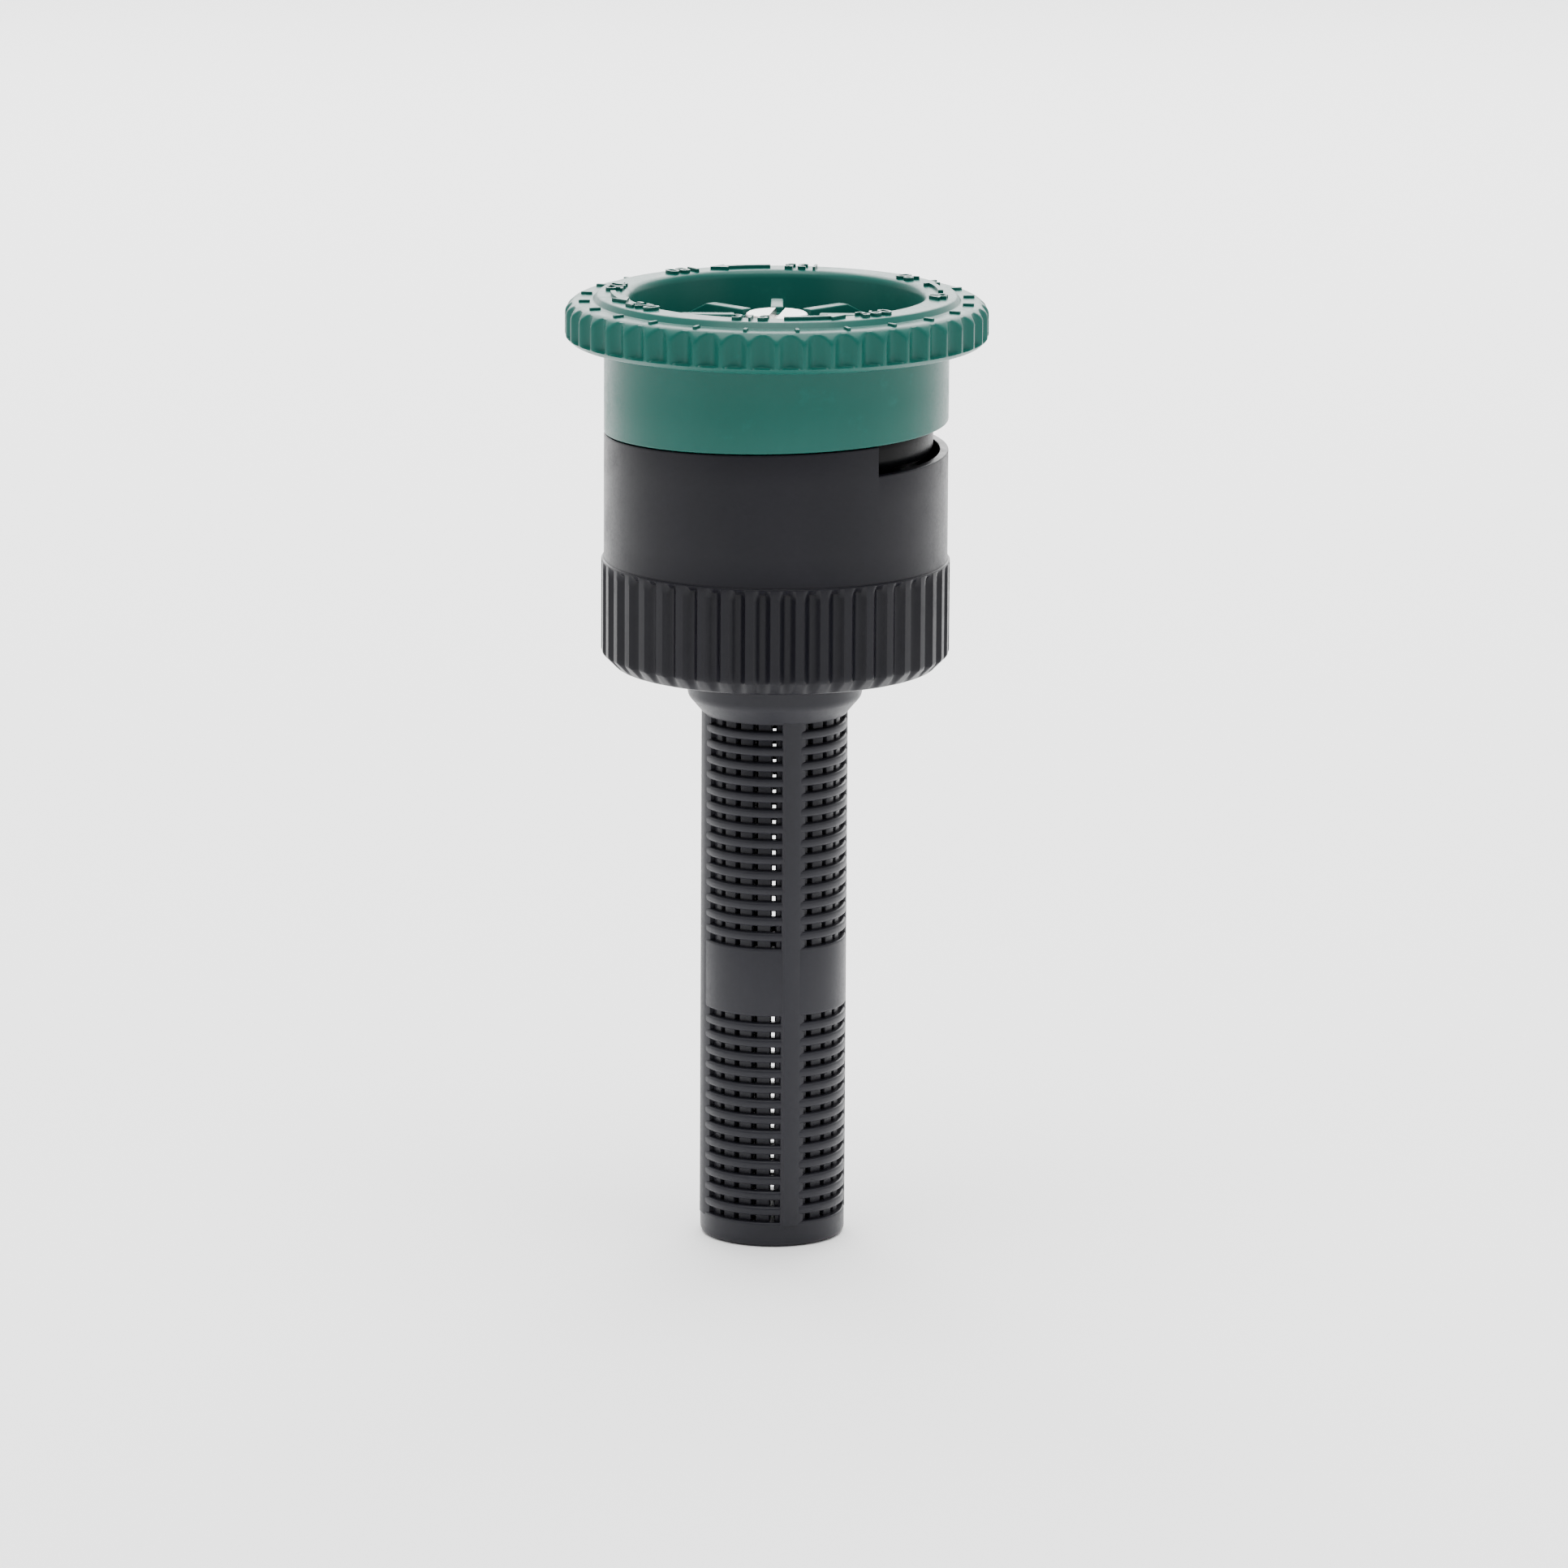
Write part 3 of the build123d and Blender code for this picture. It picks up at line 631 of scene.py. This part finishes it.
# ---- the filter ----------------------------------------------------------------------------------
def filter_cage():
    """Filter: flange, neck, and a cage of rounded slats over upright bars, with staves and a closed end."""
    first_z, last_z = FIRST_GROOVES[0][0], FIRST_GROOVES[1][0]
    half, gap = GROOVE_H / 2, GROOVE_H / 2 - SLAT_EXTRA
    pieces = []
    neck = [
        (THROAT_R, 0, 0.1, 0), (SPIGOT_BORE_R, 0, 0.1, 0), (SPIGOT_BORE_R, SPIGOT_TOP_Z, 0.1, 0),
        (SPIGOT_R, SPIGOT_TOP_Z, 0.2, 0), (SPIGOT_R, 0, 0.1, 0), (CLAMP_R, 0, 0.1, 0),
        (CLAMP_R, CLAMP_LOW_Z, 0.1, 0), (NECK_TOP_R, CLAMP_LOW_Z, 0.2, 0), (NECK_R, NECK_Z, 0.25, 0),
        (FILTER_R, CAGE_TOP_Z, 0.15, 0), (FILTER_R, first_z + half, 0.12, 0),
        (CAGE_BORE_R, first_z + half, 0.05, 0), (NECK_BORE_R, NECK_Z - 0.3, 0.3, 0),
        (NECK_BORE_R, THROAT_LOW_Z, 0.1, 0), (THROAT_R, THROAT_LOW_Z, 0.2, 0)]
    pieces.append(closed_mesh("neck", turned(neck, FINE_COLUMNS)))
    for first, count in FIRST_GROOVES:
        low_z = first - SLAT_PITCH + gap
        slat = [(SLAT_ROOT_R, first - gap, 0.05, 0), (FILTER_R, first - gap, 0.2, 0),
                (FILTER_R, low_z, 0.2, 0), (SLAT_ROOT_R, low_z, 0.05, 0)]
        pieces.append(grown("slats", closed_mesh("slat", turned(slat, 128, steps=3)), REPEAT, SLATE,
                            Count=count - 1, First_Turn=0.0, Turn=0.0, Rise=-SLAT_PITCH * MM))
    band_top = first_z - SLAT_PITCH * (FIRST_GROOVES[0][1] - 1) - half
    end_top = last_z - SLAT_PITCH * (FIRST_GROOVES[1][1] - 1) - half
    band = [(CAGE_BORE_R, band_top, 0.05, 0), (FILTER_R, band_top, 0.15, 0),
            (FILTER_R, last_z + half, 0.15, 0), (CAGE_BORE_R, last_z + half, 0.05, 0)]
    pieces.append(closed_mesh("band", turned(band, FINE_COLUMNS)))

    def cap(bm):
        outline = softened([(0, end_top, 0, 0), (FILTER_R, end_top, 0.15, 0),
                            (FILTER_R, FILTER_END_Z, 0.45, 0), (0, FILTER_END_Z, 0, 0)], 5)
        turned(outline, FINE_COLUMNS, closed=False)(bm)
    pieces.append(closed_mesh("cap", cap))

    def bar(bm):
        inner_r, outer_r, half_w = 3.5, 4.1, 0.41
        bevelled_box(bm, (inner_r, -half_w, end_top - 0.5), (outer_r, half_w, first_z + 0.6), 0.06)

    def stave(bm):
        half_w = 0.75
        outline = ((CAGE_BORE_R, -half_w), (4.4, -half_w), (4.54, -0.6), (4.54, 0.3), (4.3, half_w),
                   (CAGE_BORE_R, half_w))
        prism(bm, outline, end_top - 0.2, first_z + 0.4)
    pieces.append(grown("bars", closed_mesh("bar", bar), REPEAT, SLATE, Count=BAR_COUNT,
                        First_Turn=radians(FRONT_DEG) + pi / BAR_COUNT, Turn=tau / BAR_COUNT, Rise=0.0))
    pieces.append(grown("staves", closed_mesh("stave", stave), REPEAT, SLATE, Count=STAVES,
                        First_Turn=radians(STAVE_DEG), Turn=tau / STAVES, Rise=0.0))
    return joined("filter_cage", pieces, SLATE)


# ---- the whole nozzle ----------------------------------------------------------------------------
def assemble():
    """Every shell rides on its body. The other pieces keep their own shapes and get real finishes."""
    for shell, node, ride in ((collar(), "arc_collar", "collar"), (body(), "nozzle_body", "base"),
                              (core(), "deflector_core", "base"), (filter_cage(), "filter_screen", "base")):
        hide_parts(node)
        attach(shell, ride)
    carried = {"radius_screw": STEEL, "core_retaining_ring": STEEL, "collar_seal_ring": RUBBER,
               "screw_seal_ring": RUBBER, "throttle_plug": IVORY}
    for node, finish in carried.items():
        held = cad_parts[node]
        held.data.materials.clear()
        held.data.materials.append(finish)


def studio():
    """White floor, white surroundings and soft lights, with the long lens of a product shot."""
    floor_z = FILTER_END_Z * MM
    bm = bmesh.new()
    bmesh.ops.create_grid(bm, x_segments=2, y_segments=2, size=FLOOR_SIZE)
    bmesh.ops.translate(bm, vec=(0, 0, floor_z), verts=bm.verts)
    mesh = bpy.data.meshes.new("floor")
    bm.to_mesh(mesh)
    bm.free()
    floor = bpy.data.objects.new("floor", mesh)
    bpy.context.scene.collection.objects.link(floor)
    white = bpy.data.materials.new("floor_white")
    white.use_nodes = True
    shader = white.node_tree.nodes["Principled BSDF"]
    shader.inputs["Base Color"].default_value = (FLOOR_WHITE, FLOOR_WHITE, FLOOR_WHITE, 1)
    shader.inputs["Roughness"].default_value = 0.9
    mesh.materials.append(white)

    world = bpy.data.worlds.new("studio")
    world.use_nodes = True
    tree = world.node_tree
    around = put(tree, "ShaderNodeTexCoord").outputs["Generated"]
    facing = put(tree, "ShaderNodeSeparateXYZ", {0: around}).outputs
    behind = spread(tree, facing["Y"], FRONT_LIGHT, BACK_LIGHT, -0.3, 0.7)
    above = spread(tree, facing["Z"], 0.0, TOP_LIGHT, 0.2, 0.9)
    background = tree.nodes["Background"].inputs
    background["Color"].default_value = (1, 1, 1, 1)
    tree.links.new(sum_of(tree, "MAXIMUM", behind, above), background["Strength"])
    bpy.context.scene.world = world

    for name, (place, size, power) in LAMPS.items():
        lamp = bpy.data.lights.new(name, "AREA")
        lamp.size = size
        lamp.energy = power
        holder = bpy.data.objects.new(name, lamp)
        holder.location = place
        holder.rotation_euler = Vector(place).to_track_quat("Z", "Y").to_euler()
        bpy.context.scene.collection.objects.link(holder)


def set_camera():
    """The camera: a long lens, looking a little down from the front."""
    camera = bpy.data.cameras.new("camera")
    camera.sensor_width = SENSOR_MM
    camera.lens = LENS_MM
    camera.clip_start = 0.01
    holder = bpy.data.objects.new("camera", camera)
    holder.location = Vector(CAMERA_AT) * MM
    holder.rotation_euler = (Matrix.Rotation(pi / 2 - radians(CAMERA_PITCH_DEG), 4, "X")
                             @ Matrix.Rotation(radians(CAMERA_ROLL_DEG), 4, "Z")).to_euler()
    bpy.context.scene.collection.objects.link(holder)
    bpy.context.scene.camera = holder


assemble()
studio()
set_camera()
